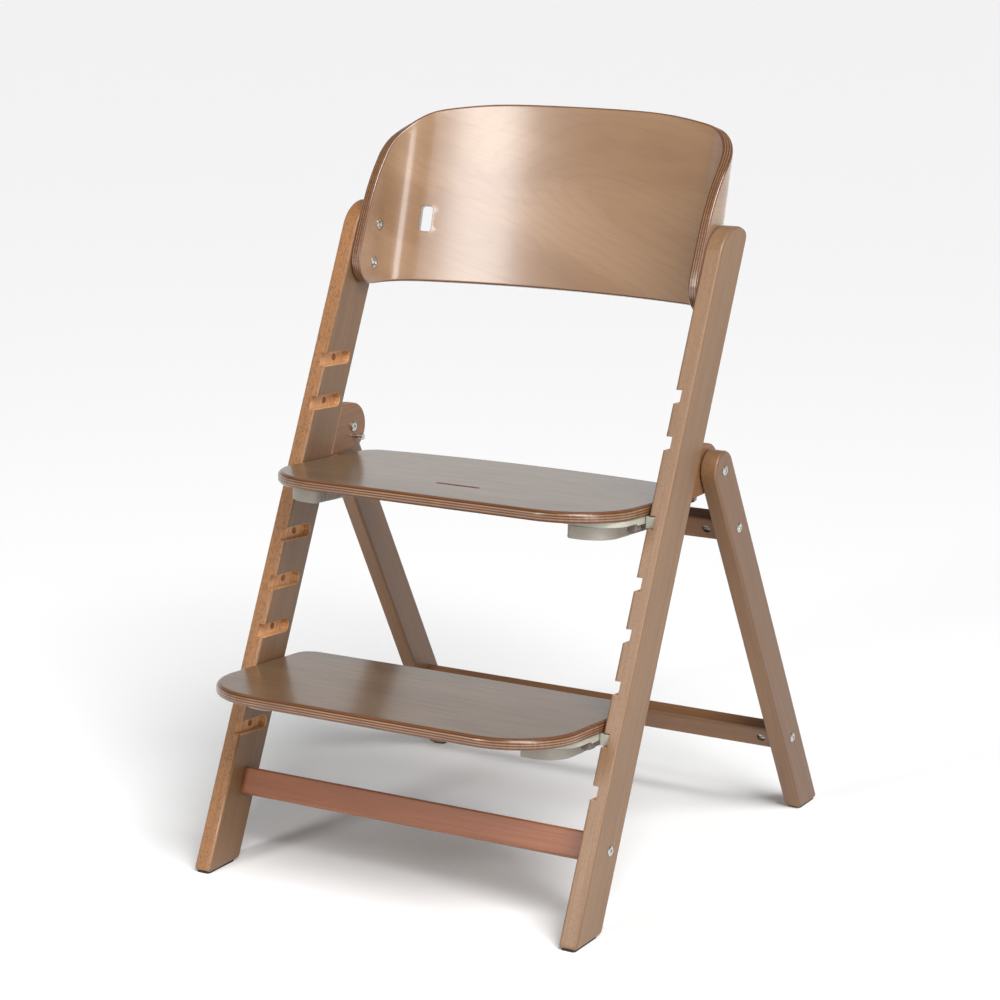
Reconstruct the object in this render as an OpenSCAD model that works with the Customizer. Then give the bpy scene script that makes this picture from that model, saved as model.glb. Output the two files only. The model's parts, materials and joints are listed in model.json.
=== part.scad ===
// Folding wooden high chair. The seat and the footrest slide into grooves in two leaning rails,
// and the rear legs fold forward against the rails.
// X is across the chair, Y runs from front to back and Z is up from the floor.

/* [Rails] */
// Distance between the inner faces of the rails
gap_w = 435; // [405:5:465]
// Lean of the rails from the vertical, in degrees
lean = 25; // [23:0.5:26]
// Length of a rail, measured along it from the floor
rail_len = 789; // [780:1:800]
// Thickness of a rail across the chair
rail_t = 20; // [18:1:22]
// Depth of a rail, square to its length
rail_w = 54; // [50:1:58]
// Radius of the rail's front top corner
rail_top_r = 42; // [36:1:44]
// Rounding of the long edges of the rails and bars
edge_r = 3; // [2:0.5:4]
// Thickness of the floor glides
glide_t = 2; // [1:0.5:3]

/* [Grooves] */
// Distance between one groove and the next, measured upright
groove_pitch = 50; // [48:1:52]
// Height of the top edge of the lowest groove at the rail's front face
groove_first_z = 156; // [150:1:160]
// Height of the top edge of the groove that holds the seat
seat_groove_z = 416; // [412:1:420]
// Height of the top edge of the lower of the two spare grooves above the seat
upper_groove_z = 494; // [490:1:500]
// Distance between the two spare grooves above the seat
upper_groove_pitch = 46; // [44:1:50]
// Height of a groove
groove_h = 14; // [13.6:0.1:15]
// Depth of a groove into the rail's inner face
groove_d = 8; // [7.8:0.1:9]
// Length of a groove from the rail's front face
groove_len = 45; // [44.5:0.5:46]
// Slope of the grooves, lower at the back, in degrees
groove_tilt = 4; // [3:0.5:5]
// Diameter of the latch hole in a groove's floor
latch_hole_d = 8; // [7.6:0.1:8.4]

/* [Plates] */
// Thickness of the seat and footrest plywood
plate_t = 12; // [11:0.5:13]
// Gap between the top of a groove and the underside of a plate, measured down from the groove
plate_drop = 1.2; // [1:0.1:1.5]
// Clearance between a plate and each rail
plate_gap = 2; // [1.5:0.1:3]
// Reach of the seat in front of the rails
seat_front = 104; // [95:1:115]
// Reach of the seat behind the rails' front faces
seat_back = 158; // [150:1:160]
// Reach of the footrest in front of the rails
footrest_front = 130; // [120:1:140]
// Reach of the footrest behind the rails' front faces
footrest_back = 100; // [90:1:105]
// Radius of the front corners of both plates
plate_front_r = 80; // [76:1:98]
// Width of the crotch strap slot
crotch_slot_w = 54; // [45:1:60]

/* [Backrest] */
// Thickness of the backrest plywood
back_t = 12; // [11:0.5:12]
// Height of the backrest's lower edge
back_bottom_z = 609; // [605:1:612]
// Height of the middle of the backrest's upper edge
back_top_z = 813; // [808:1:814]
// Lean of the backrest from the vertical, in degrees
back_lean = 15; // [14:0.5:16]
// Inner radius of the bend between a wing and the backrest
back_bend_r = 41; // [38:1:44]
// Inner radius of the middle of the backrest
back_curve_r = 714; // [700:2:730]
// Distance of the harness slot to the left of the backrest's middle
harness_slot_x = 170; // [160:1:173]

/* [Rear legs] */
// Height of the fold pivot
pivot_z = 447.5; // [445:0.5:450]
// Distance of the fold pivot behind the rail's back face, measured level
pivot_setback = 34; // [34:0.5:36]
// Angle of the rear legs from the vertical, in degrees
leg_angle = 29; // [27:0.5:30]
// Width of a rear leg
leg_w = 42; // [40:1:43]
// Thickness of a rear leg across the chair
leg_t = 20; // [18:1:21]
// Thickness of a hinge block
block_t = 15; // [14:0.5:16]

/* [Hidden] */
$fn = 96;
BIG_FN = 720;

WALNUT = [0.55, 0.40, 0.30];
BEECH = [0.62, 0.45, 0.33];
STEEL = [0.72, 0.72, 0.70];
GREIGE = [0.73, 0.70, 0.66];
SAGE = [0.63, 0.65, 0.59];
PAD = [0.18, 0.17, 0.16];
EPS = 0.01;

rail_in = gap_w / 2;
rail_out = rail_in + rail_t;
plate_half_w = rail_in - plate_gap;
rail_back_y = rail_w / cos(lean);
pivot_y = pivot_z * tan(lean) + rail_back_y + pivot_setback;

// The foot of the rear leg, and the middle of the whole chair from front to back
leg_foot_y = pivot_y + (pivot_z - glide_t) * tan(leg_angle);
leg_back_y = leg_foot_y + leg_w / 2 / cos(leg_angle);
footrest_groove_z = groove_first_z + groove_pitch;
footrest_front_y = footrest_groove_z * tan(lean) - footrest_front * cos(groove_tilt)
    - plate_drop * sin(groove_tilt);
middle_y = (leg_back_y + footrest_front_y) / 2;

// Every groove is known by the height of its top edge at the rail's front face
GROOVES = [
    for (i = [0:4]) groove_first_z + i * groove_pitch,
    seat_groove_z,
    upper_groove_z,
    upper_groove_z + upper_groove_pitch
];

// Front crossbar: its place in the rail's own depth and length, and its section
crossbar_p = [24, 42];
crossbar_a = [96.5, 126.5];
crossbar_bolt = [(crossbar_p[0] + crossbar_p[1]) / 2, (crossbar_a[0] + crossbar_a[1]) / 2];

// Rear legs and bars. A bar's place is its distance from the pivot along the leg.
leg_in = rail_in + block_t + 0.5;
leg_out = leg_in + leg_t;
bar_t = 18;
bar_h = 30;
upper_bar_s = 81;
lower_bar_s = 402;
block_r = 27;

// Metal parts
bolt_d = 6;
bolt_len = 46;
head_d = 11;
head_t = 2.6;
head_recess = 1.4;
hex_af = 4;
barrel_d = 10;
barrel_x = 16;
barrel_hole_depth = 16;
sleeve_d = 8;
bore_gap = 0.05;
stop_r = 11;
stop_pin_d = 4;
stop_slot_d = 8;
fold_angle = lean + leg_angle;

// Backrest
wing_in = rail_in - back_t;
wing_bend_v = 40.2;
back_origin = [284, 609];
back_curl_z = 699.6;
back_curl_r = 205;
back_toe_r = 29;
back_top_r = 1100;
back_corner_r = 50;
back_corner_z = 750;
wing_screw_heights = [634, 675.7];
wing_screw_p = [33, 26.7];

// Brackets and latches, seen from a plate's underside. u runs back along the groove.
bracket_in = 150;
bracket_u = [-66, 44];
bracket_t = 6;
tab_h = groove_h - plate_drop - 0.3;
tab_x = [213, rail_in + groove_d - 0.5];
tab_end_u = groove_len - tab_h / 2 - 1.2;
pin_u = 25;
pin_v = -groove_h / 2;
pin_d = 7;
pin_x = [176, rail_in + groove_d - 0.8];
knob_n = [6.3, 21];
crotch_slot_t = 6;
crotch_slot_u = -24;

// ---------- helpers ----------

// Draws a side view (Y to the right, Z up) and gives it a thickness between two X values
module across(x0, x1) {
    translate([x0, -middle_y, 0]) rotate([90, 0, 90]) linear_extrude(x1 - x0) children();
}

// The same on both sides of the chair, at the same distances from its middle
module on_both_sides() {
    children();
    mirror([1, 0, 0]) children();
}

module on_side(side) {
    mirror([side < 0 ? 1 : 0, 0, 0]) children();
}

// A solid in the rail's own frame: Y is depth from the front face, Z is length from the floor
module in_rail_frame() {
    translate([0, -middle_y, 0]) rotate([-lean, 0, 0]) children();
}

// A solid in the rear leg's own frame: the pivot is at the origin and the leg runs down -Z
module in_leg_frame() {
    translate([0, pivot_y - middle_y, pivot_z]) rotate([leg_angle, 0, 0]) children();
}

// A solid in a groove's frame: Y runs back along the groove, Z is square to it, and the origin
// is on the groove's top edge at the rail's front face
module in_groove_frame(top_z) {
    translate([0, top_z * tan(lean) - middle_y, top_z]) rotate([-groove_tilt, 0, 0]) children();
}

// A solid in the backrest's frame: Z runs up its straight generator and Y is square to that
module in_back_frame() {
    translate([0, back_origin[0] - middle_y, back_origin[1]]) rotate([-back_lean, 0, 0]) children();
}

// Rectangle between two corners
module box2(a, b) {
    translate(a) square(b - a);
}

// Box between two corners
module box3(a, b) {
    translate(a) cube(b - a);
}

// Rectangle with round corners
module round_rect(a, b, r) {
    box2([a[0] + r, a[1]], [b[0] - r, b[1]]);
    box2([a[0], a[1] + r], [b[0], b[1] - r]);
    for (x = [a[0] + r, b[0] - r], y = [a[1] + r, b[1] - r]) translate([x, y]) circle(r);
}

// Cylinder along X between two X values
module rod(x0, x1, d) {
    translate([x0, 0, 0]) rotate([0, 90, 0]) cylinder(h = x1 - x0, d = d);
}

// Flat front edge at v = 0, straight sides, and a far edge of radius bow_r whose middle is at
// depth. The far corners have radius corner_r and run smoothly into both.
module bowed_outline(half_w, depth, corner_r, bow_r) {
    corner_x = half_w - corner_r;
    corner_v = depth - bow_r + sqrt(pow(bow_r - corner_r, 2) - pow(corner_x, 2));
    meet_x = corner_x * bow_r / (bow_r - corner_r);
    meet_v = depth - bow_r + sqrt(pow(bow_r, 2) - pow(meet_x, 2));
    box2([-half_w, 0], [half_w, corner_v]);
    for (s = [-1, 1]) translate([s * corner_x, corner_v]) circle(corner_r);
    intersection() {
        box2([-meet_x, corner_v - corner_r], [meet_x, depth + 1]);
        translate([0, depth - bow_r]) circle(bow_r, $fn = BIG_FN);
    }
    polygon([[-meet_x, meet_v], [-corner_x, corner_v], [corner_x, corner_v], [meet_x, meet_v]]);
}

// Bolt along X, its head's underside at x = 0 and its hexagon socket towards +X
module socket_bolt(shank, shank_d) {
    dome = 0.9;
    difference() {
        rotate([0, 90, 0]) rotate_extrude() polygon([
            [0, -shank], [shank_d / 2, -shank], [shank_d / 2, 0], [head_d / 2, 0],
            [head_d / 2, head_t - dome], [head_d / 2 - 1.5 * dome, head_t], [0, head_t]
        ]);
        translate([head_t - 1.6, 0, 0]) rotate([0, 90, 0]) cylinder(h = 2, d = hex_af / cos(30), $fn = 6);
    }
}

// Bolt whose head sits in a shallow recess in the face at x = face and whose shank runs inward
module side_bolt(face, shank) {
    translate([face - head_recess, 0, 0]) socket_bolt(shank, bolt_d);
}

// The hole for that bolt
module side_bolt_hole(face, shank) {
    rod(face - shank - head_recess - 2, face + 1, bolt_d + 2 * bore_gap);
    rod(face - head_recess, face + 1, head_d + 0.6);
}

// Cross-drilled barrel nut in a bar's rear face, with a screwdriver slot; its axis is Y here
module barrel_nut(len) {
    difference() {
        rotate([-90, 0, 0]) cylinder(h = len, d = barrel_d);
        translate([0, len / 2, 0]) rod(-barrel_d, barrel_d, bolt_d + 2 * bore_gap);
        box3([-barrel_d, -1, -0.7], [barrel_d, 1.2, 0.7]);
    }
}

// ---------- rails ----------

module rail_outline() {
    heel_r = 9;
    intersection() {
        // Everything above the glide, with the rear corner of the foot cut off
        difference() {
            box2([-50, glide_t], [500, 900]);
            translate([rail_back_y - 6, glide_t]) rotate(-45) box2([0, -10], [20, 4]);
        }
        // A little wider than the rail, whose section trims it
        rotate(-lean) union() {
            box2([-1, -40], [rail_w + 1, rail_len - rail_top_r]);
            box2([rail_top_r, 0], [rail_w - heel_r, rail_len]);
            box2([rail_top_r, 0], [rail_w + 1, rail_len - heel_r]);
            translate([rail_top_r, rail_len - rail_top_r]) circle(rail_top_r);
            translate([rail_w - heel_r, rail_len - heel_r]) circle(heel_r);
        }
    }
}

// One groove with its latch hole, on the +X side
module groove(top_z) {
    end_r = groove_h / 2;
    in_groove_frame(top_z) {
        box3([rail_in - 1, -20, -groove_h], [rail_in + groove_d, groove_len - end_r, 0]);
        translate([0, groove_len - end_r, -end_r]) rod(rail_in - 1, rail_in + groove_d, groove_h);
        translate([0, pin_u, pin_v]) rod(rail_in, rail_in + groove_d + 7, latch_hole_d);
    }
}

module rail(side) {
    on_side(side) color(BEECH) difference() {
        intersection() {
            across(rail_in - 1, rail_out + 1) rail_outline();
            in_rail_frame() translate([0, 0, -50]) linear_extrude(rail_len + 60)
                round_rect([rail_in, 0], [rail_out, rail_w], edge_r);
        }
        for (top_z = GROOVES) groove(top_z);
        in_rail_frame() translate([0, crossbar_bolt[0], crossbar_bolt[1]])
            side_bolt_hole(rail_out, bolt_len);
        in_block_dowels() dowel_hole();
        for (i = [0, 1]) in_wing_screw(i)
            rod(rail_in - 1, rail_in + 15, 4 + 2 * bore_gap);
    }
}

module rail_left() { rail(-1); }
module rail_right() { rail(1); }

module rail_glides() {
    foot_y = [0, rail_back_y - 6];
    inset = 2;
    color(PAD) on_both_sides()
        translate([0, -middle_y, 0]) linear_extrude(glide_t)
            round_rect([rail_in + inset, foot_y[0] + 4], [rail_out - inset, foot_y[1]], 3);
}

// ---------- front crossbar ----------

module front_crossbar() {
    color(WALNUT) difference() {
        in_rail_frame() rotate([90, 0, 90]) translate([0, 0, -rail_in]) linear_extrude(gap_w)
            round_rect([crossbar_p[0], crossbar_a[0]], [crossbar_p[1], crossbar_a[1]], edge_r);
        on_both_sides() in_rail_frame() translate([0, crossbar_bolt[0], crossbar_bolt[1]])
            side_bolt_hole(rail_out, bolt_len);
        on_both_sides() crossbar_nut_place() mirror([0, 1, 0])
            translate([0, -1, 0]) rotate([-90, 0, 0]) cylinder(h = barrel_hole_depth + 1, d = barrel_d + 0.5);
    }
}

// The mouth of a barrel nut's hole, in the crossbar's rear face
module crossbar_nut_place() {
    in_rail_frame() translate([rail_in - barrel_x, crossbar_p[1], crossbar_bolt[1]]) children();
}

module crossbar_bolts() {
    color(STEEL) on_both_sides() in_rail_frame()
        translate([0, crossbar_bolt[0], crossbar_bolt[1]]) side_bolt(rail_out, bolt_len);
}

module crossbar_barrel_nuts() {
    nut_len = 13;
    bolt_depth = crossbar_p[1] - crossbar_bolt[0];
    color(STEEL) on_both_sides() crossbar_nut_place() mirror([0, 1, 0])
        translate([0, bolt_depth - nut_len / 2, 0]) barrel_nut(nut_len);
}

// ---------- hinge blocks ----------

module block_outline() {
    back_at = function(z) z * tan(lean) + rail_back_y;
    low = pivot_z - block_r;
    high = pivot_z + block_r;
    polygon([[back_at(low), low], [pivot_y, low], [pivot_y, high], [back_at(high), high]]);
    translate([pivot_y, pivot_z]) circle(block_r);
}

// Dowels run square to the rail's back face, one above the other
module in_block_dowels() {
    block_mid_a = pivot_z / cos(lean) + rail_back_y * sin(lean);
    in_rail_frame() for (side_step = [-13, 13])
        translate([rail_in + block_t / 2, rail_w, block_mid_a + side_step]) children();
}

module dowel_hole() {
    translate([0, -14.5, 0]) rotate([-90, 0, 0]) cylinder(h = 29, d = 8 + 2 * bore_gap);
}

module hinge_block(side) {
    on_side(side) color(WALNUT) difference() {
        across(rail_in, rail_in + block_t) block_outline();
        in_block_dowels() dowel_hole();
        translate([0, pivot_y - middle_y, pivot_z]) {
            rod(rail_in - 1, leg_in, sleeve_d + 2 * bore_gap);
            translate([0, 0, -stop_r]) rod(rail_in - 1, leg_in, stop_pin_d + 2 * bore_gap);
        }
    }
}

module hinge_block_left() { hinge_block(-1); }
module hinge_block_right() { hinge_block(1); }

module block_dowels() {
    color(BEECH) on_both_sides() in_block_dowels()
        translate([0, -14, 0]) rotate([-90, 0, 0]) cylinder(h = 28, d = 8);
}

// ---------- pivots ----------

// Outer sleeve nut: the leg turns on its barrel, and its head lies in a recess in the leg
module pivot_sleeves() {
    head_x = leg_out - head_recess + 0.2;
    color(STEEL) on_both_sides() translate([head_x, pivot_y - middle_y, pivot_z]) difference() {
        socket_bolt(head_x - rail_in - 2, sleeve_d);
        rod(-leg_out, -4.6, 5 + 2 * bore_gap);
    }
}

// Inner bolt, screwed into the sleeve, with its head on the block's inner face
module pivot_bolts() {
    color(STEEL) on_both_sides() translate([rail_in, pivot_y - middle_y, pivot_z])
        mirror([1, 0, 0]) socket_bolt(leg_out - 7 - rail_in, 5);
}

// Headed pins through the blocks. Their outer ends run in arc slots in the legs.
module fold_stop_pins() {
    color(STEEL) on_both_sides() translate([0, pivot_y - middle_y, pivot_z - stop_r]) {
        rod(rail_in - 9, leg_in + stop_slot_d - 1, stop_pin_d);
        rod(rail_in - 14, rail_in - 9 + EPS, 6.4);
    }
}

// ---------- backrest ----------

// Plan section of the bent sheet, one surface at a time; grow is 0 inside and back_t outside
module back_section(grow) {
    half_w = wing_in + grow;
    bend_r = back_bend_r + grow;
    curve_r = back_curve_r + grow;
    bend_x = half_w - bend_r;
    depth = wing_bend_v + curve_r - sqrt(pow(curve_r - bend_r, 2) - pow(bend_x, 2));
    translate([0, -60]) bowed_outline(half_w, depth + 60, bend_r, curve_r);
}

// The sheet's outline from the side: it starts on the rails' front line and curls back above
module back_side_outline() {
    front_y = function(z) z * tan(lean) - 1;
    curl = [front_y(back_curl_z) + back_curl_r * cos(lean), back_curl_z - back_curl_r * sin(lean)];
    toe_z = back_bottom_z + back_toe_r;
    toe = [front_y(toe_z) + back_toe_r / cos(lean), toe_z];
    toe_tangent = toe + back_toe_r * [-cos(lean), sin(lean)];
    curl_tangent = [front_y(back_curl_z), back_curl_z];
    far_y = curl[0] + back_curl_r;
    polygon([toe_tangent, toe, [toe[0], back_bottom_z], [far_y, back_bottom_z],
             [far_y, back_curl_z], curl_tangent]);
    translate(toe) circle(back_toe_r);
    intersection() {
        translate(curl) circle(back_curl_r, $fn = BIG_FN);
        box2([0, back_curl_z - 1], [far_y, back_top_z + 10]);
    }
}

// The sheet's outline from the front, with a nearly straight top and wide round corners
module back_front_outline() {
    corner_x = sqrt(pow(back_top_r - back_corner_r, 2) - pow(back_corner_z - back_top_z + back_top_r, 2));
    translate([0, back_bottom_z - 10])
        bowed_outline(corner_x + back_corner_r, back_top_z - back_bottom_z + 10, back_corner_r, back_top_r);
}

// Middle of the harness slot on the sheet's inner surface, in the backrest's frame
module in_harness_slot() {
    bend_x = wing_in - back_bend_r;
    centre_v = wing_bend_v - sqrt(pow(back_curve_r - back_bend_r, 2) - pow(bend_x, 2));
    turn = asin(harness_slot_x / back_curve_r);
    above_edge = 95;
    in_back_frame() translate([0, centre_v, above_edge]) rotate([0, 0, turn])
        translate([0, back_curve_r, 0]) children();
}

module harness_slot_hole() {
    slot_w = 14;
    slot_h = 29;
    translate([0, 20, 0]) rotate([90, 0, 0]) linear_extrude(40)
        round_rect([-slot_w / 2, -slot_h / 2], [slot_w / 2, slot_h / 2], 3);
}

// A wing screw's axis on the +X side
module in_wing_screw(i) {
    in_rail_frame() translate([0, wing_screw_p[i],
        wing_screw_heights[i] / cos(lean) + wing_screw_p[i] * tan(lean)]) children();
}

module backrest_panel() {
    color(WALNUT) difference() {
        intersection() {
            in_back_frame() translate([0, 0, -150]) linear_extrude(500) difference() {
                back_section(back_t);
                back_section(0);
            }
            across(-rail_in - 1, rail_in + 1) back_side_outline();
            translate([0, 400, 0]) rotate([90, 0, 0]) linear_extrude(800) back_front_outline();
        }
        in_harness_slot() harness_slot_hole();
        on_both_sides() for (i = [0, 1]) in_wing_screw(i)
            rod(wing_in - 1, rail_in + 1, 4 + 2 * bore_gap);
    }
}

module backrest_screws() {
    screw_head_r = 6.25;
    screw_head_t = 2.2;
    color(STEEL) on_both_sides() for (i = [0, 1]) in_wing_screw(i)
        translate([wing_in, 0, 0]) rotate([0, -90, 0]) difference() {
            rotate_extrude() polygon([
                [0, -back_t - 14], [2, -back_t - 14], [2, 0], [screw_head_r, 0],
                [screw_head_r, 0.8], [screw_head_r - 2, screw_head_t], [0, screw_head_t]
            ]);
            translate([0, 0, screw_head_t - 1.4]) cylinder(h = 2, d = hex_af / cos(30), $fn = 6);
        }
}

// ---------- rear frame ----------

module leg_outline() {
    intersection() {
        box2([-50, glide_t], [900, 900]);
        translate([pivot_y, pivot_z]) rotate(leg_angle) union() {
            circle(leg_w / 2);
            box2([-leg_w / 2, -pivot_z * 1.3], [leg_w / 2, 0]);
        }
    }
}

// Arc slot for the stop pin, about the pivot, seen from the side
module stop_slot_outline() {
    half = stop_pin_d / 2 + 0.4;
    steps = 24;
    at = function(r, turn) r * [sin(turn), -cos(turn)];
    cap = function(turn, way) [
        for (i = [1:7]) at(stop_r, turn) + half * [sin(turn + way * i * 22.5), -cos(turn + way * i * 22.5)]
    ];
    translate([pivot_y, pivot_z]) polygon(concat(
        [for (i = [0:steps]) at(stop_r + half, fold_angle * i / steps)],
        cap(fold_angle, 1),
        [for (i = [steps:-1:0]) at(stop_r - half, fold_angle * i / steps)],
        [for (i = [6:-1:0]) cap(0, -1)[i]]
    ));
}

module rear_leg(side) {
    on_side(side) color(BEECH) difference() {
        across(leg_in, leg_out) leg_outline();
        across(leg_in - 1, leg_in + stop_slot_d) stop_slot_outline();
        translate([0, pivot_y - middle_y, pivot_z]) {
            rod(leg_in - 1, leg_out + 1, sleeve_d + 2 * bore_gap);
            rod(leg_out - head_recess, leg_out + 1, head_d + 0.6);
        }
        for (s = [upper_bar_s, lower_bar_s]) in_leg_frame() translate([0, 0, -s])
            side_bolt_hole(leg_out, bolt_len);
    }
}

module rear_leg_left() { rear_leg(-1); }
module rear_leg_right() { rear_leg(1); }

// The mouth of a barrel nut's hole, in a bar's front face
module bar_nut_place(s) {
    in_leg_frame() translate([leg_in - barrel_x, -bar_t / 2, -s]) children();
}

module rear_bar(s) {
    color(WALNUT) difference() {
        in_leg_frame() rotate([90, 0, 90]) translate([0, -s, -leg_in]) linear_extrude(2 * leg_in)
            round_rect([-bar_t / 2, -bar_h / 2], [bar_t / 2, bar_h / 2], edge_r);
        on_both_sides() in_leg_frame() translate([0, 0, -s]) side_bolt_hole(leg_out, bolt_len);
        on_both_sides() bar_nut_place(s)
            translate([0, -1, 0]) rotate([-90, 0, 0]) cylinder(h = barrel_hole_depth + 1, d = barrel_d + 0.5);
    }
}

module rear_upper_bar() { rear_bar(upper_bar_s); }
module rear_lower_bar() { rear_bar(lower_bar_s); }

module rear_bar_bolts() {
    color(STEEL) on_both_sides() for (s = [upper_bar_s, lower_bar_s])
        in_leg_frame() translate([0, 0, -s]) side_bolt(leg_out, bolt_len);
}

module rear_barrel_nuts() {
    nut_len = 13;
    color(STEEL) on_both_sides() for (s = [upper_bar_s, lower_bar_s])
        bar_nut_place(s) translate([0, bar_t / 2 - nut_len / 2, 0]) barrel_nut(nut_len);
}

module leg_glides() {
    inset = 2;
    half = leg_w / 2 / cos(leg_angle) - 4;
    color(PAD) on_both_sides()
        translate([0, leg_foot_y - middle_y, 0]) linear_extrude(glide_t)
            round_rect([leg_in + inset, -half], [leg_out - inset, half], 3);
}

// ---------- seat and footrest ----------

// Plate outline in a groove's frame, seen from above
module plate_outline(front, back, back_r, bow_r) {
    front_x = plate_half_w - plate_front_r;
    front_v = plate_front_r - front;
    box2([-front_x, -front], [front_x, front_v]);
    for (s = [-1, 1]) translate([s * front_x, front_v]) circle(plate_front_r, $fn = 192);
    translate([0, front_v]) bowed_outline(plate_half_w, back - front_v, back_r, bow_r);
}

module bracket_screw_places(side) {
    for (at = [[161, -40], [161, 36], [204, -22]]) translate([side * at[0], at[1], 0]) children();
}

module plate(top_z, front, back, back_r, bow_r) {
    color(WALNUT) in_groove_frame(top_z) translate([0, 0, -plate_drop]) difference() {
        linear_extrude(plate_t) plate_outline(front, back, back_r, bow_r);
        for (side = [-1, 1]) bracket_screw_places(side)
            translate([0, 0, -1]) cylinder(h = 10, d = 4 + 2 * bore_gap);
        children();
    }
}

module seat_plate() {
    slot_r = crotch_slot_t / 2;
    plate(seat_groove_z, seat_front, seat_back, 30, 1100)
        translate([0, crotch_slot_u, -1]) linear_extrude(plate_t + 2)
            round_rect([-crotch_slot_w / 2, -slot_r], [crotch_slot_w / 2, slot_r], slot_r - EPS);
}

module footrest_plate() {
    plate(footrest_groove_z, footrest_front, footrest_back, 22, 9000);
}

// A solid under a plate on the given side: X from the middle, Y along the groove, Z down
module under_plate(top_z, side) {
    on_side(side) in_groove_frame(top_z) translate([0, 0, -plate_drop]) mirror([0, 0, 1]) children();
}

// Base plate of a bracket with its outer front corner rounded off
module bracket_outline() {
    corner_r = 30;
    outer = tab_x[0];
    box2([bracket_in, bracket_u[0]], [outer - corner_r, bracket_u[1]]);
    box2([bracket_in, bracket_u[0] + corner_r], [outer, bracket_u[1]]);
    translate([outer - corner_r, bracket_u[0] + corner_r]) circle(corner_r);
}

// Tab that fills the groove, its inner front corner slanted back into the bracket
module tab_outline() {
    slant = [9, 16];
    polygon([
        [tab_x[0] - slant[0], slant[1]], [tab_x[0] + 1, 0], [tab_x[1], 0],
        [tab_x[1], tab_end_u], [tab_x[0] - slant[0], tab_end_u]
    ]);
}

module bracket(top_z, side) {
    pin_n = -pin_v - plate_drop;
    lug_x = [172, 195];
    color(SAGE) under_plate(top_z, side) difference() {
        union() {
            linear_extrude(bracket_t) bracket_outline();
            box3([lug_x[1], pin_u - 9, 0], [tab_x[0], pin_u + 9, 13]);
            linear_extrude(tab_h) tab_outline();
            translate([0, tab_end_u, tab_h / 2]) rod(tab_x[0] - EPS, tab_x[1], tab_h);
        }
        box3([lug_x[0], pin_u - 10, -1], [lug_x[1], pin_u + 10, 20]);
        translate([0, pin_u, pin_n]) rod(lug_x[1] - 1, tab_x[1] + 1, pin_d + 2 * bore_gap);
        bracket_screw_places(1) bracket_screw(0.1);
    }
}

// Countersunk screw from a bracket's outer face up into the plate, or with a gap the hole for it
module bracket_screw(gap) {
    head_r = 3.8;
    head_t = 2.4;
    shank_r = 2 + gap;
    cone_h = head_t + 2 * gap;
    translate([0, 0, bracket_t - head_t])
        cylinder(h = cone_h, r1 = shank_r, r2 = shank_r + (head_r - 2) * cone_h / head_t);
    translate([0, 0, -8.5]) cylinder(h = bracket_t + 6.5, r = shank_r);
}

module bracket_screws(top_z) {
    color(STEEL) for (side = [-1, 1]) under_plate(top_z, side) bracket_screw_places(1) bracket_screw(0);
}

// Knob, arm and lug in one piece; it slides outward to push the pin home
module knob(top_z, side) {
    front_r = 32;
    inner_r = 5;
    x = [153, 200];
    u = [-64, -7];
    rib_pitch = 3.5;
    pin_n = -pin_v - plate_drop;
    lug_x = [176, 188];
    color(GREIGE) under_plate(top_z, side) difference() {
        union() {
            translate([0, 0, knob_n[0]]) linear_extrude(knob_n[1] - knob_n[0]) {
                box2([x[0], u[0] + inner_r], [x[1] - front_r, u[1]]);
                box2([x[0] + inner_r, u[0]], [x[1] - front_r, u[1]]);
                box2([x[0] + inner_r, u[0] + front_r], [x[1], u[1]]);
                translate([x[1] - front_r, u[0] + front_r]) circle(front_r);
                translate([x[0] + inner_r, u[0] + inner_r]) circle(inner_r);
            }
            box3([x[0] + 12, u[1] - EPS, 14.2], [199, pin_u + 10, knob_n[1]]);
            box3([198, -14, knob_n[0] + 0.5], [211, -1, knob_n[1]]);
            box3([lug_x[0], pin_u - 7, 1.5], [lug_x[1], pin_u + 7, 14.2 + EPS]);
        }
        // Finger ribs on the inner side
        for (i = [0:9]) translate([x[0] - 0.6, u[0] + 12 + i * rib_pitch, knob_n[0] - 1])
            cylinder(h = 30, r = 1.3, $fn = 24);
        translate([0, pin_u, pin_n]) rod(lug_x[0] + 4, lug_x[1] + 1, 5 + 2 * bore_gap);
    }
}

// Steel locking pin, stepped down where the knob's lug holds it
module latch_pin(top_z, side) {
    pin_n = -pin_v - plate_drop;
    color(STEEL) under_plate(top_z, side) translate([0, pin_u, pin_n]) {
        rod(pin_x[0] + 4.5, 188.5, 5);
        rod(188.2, pin_x[1] - 1, pin_d);
        translate([pin_x[1] - 1 - EPS, 0, 0]) rotate([0, 90, 0])
            cylinder(h = 1 + EPS, r1 = pin_d / 2, r2 = pin_d / 2 - 1);
    }
}

module seat_bracket_left() { bracket(seat_groove_z, -1); }
module seat_bracket_right() { bracket(seat_groove_z, 1); }
module seat_screws() { bracket_screws(seat_groove_z); }
module seat_knob_left() { knob(seat_groove_z, -1); }
module seat_knob_right() { knob(seat_groove_z, 1); }
module seat_pin_left() { latch_pin(seat_groove_z, -1); }
module seat_pin_right() { latch_pin(seat_groove_z, 1); }
module footrest_bracket_left() { bracket(footrest_groove_z, -1); }
module footrest_bracket_right() { bracket(footrest_groove_z, 1); }
module footrest_screws() { bracket_screws(footrest_groove_z); }
module footrest_knob_left() { knob(footrest_groove_z, -1); }
module footrest_knob_right() { knob(footrest_groove_z, 1); }
module footrest_pin_left() { latch_pin(footrest_groove_z, -1); }
module footrest_pin_right() { latch_pin(footrest_groove_z, 1); }

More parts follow.
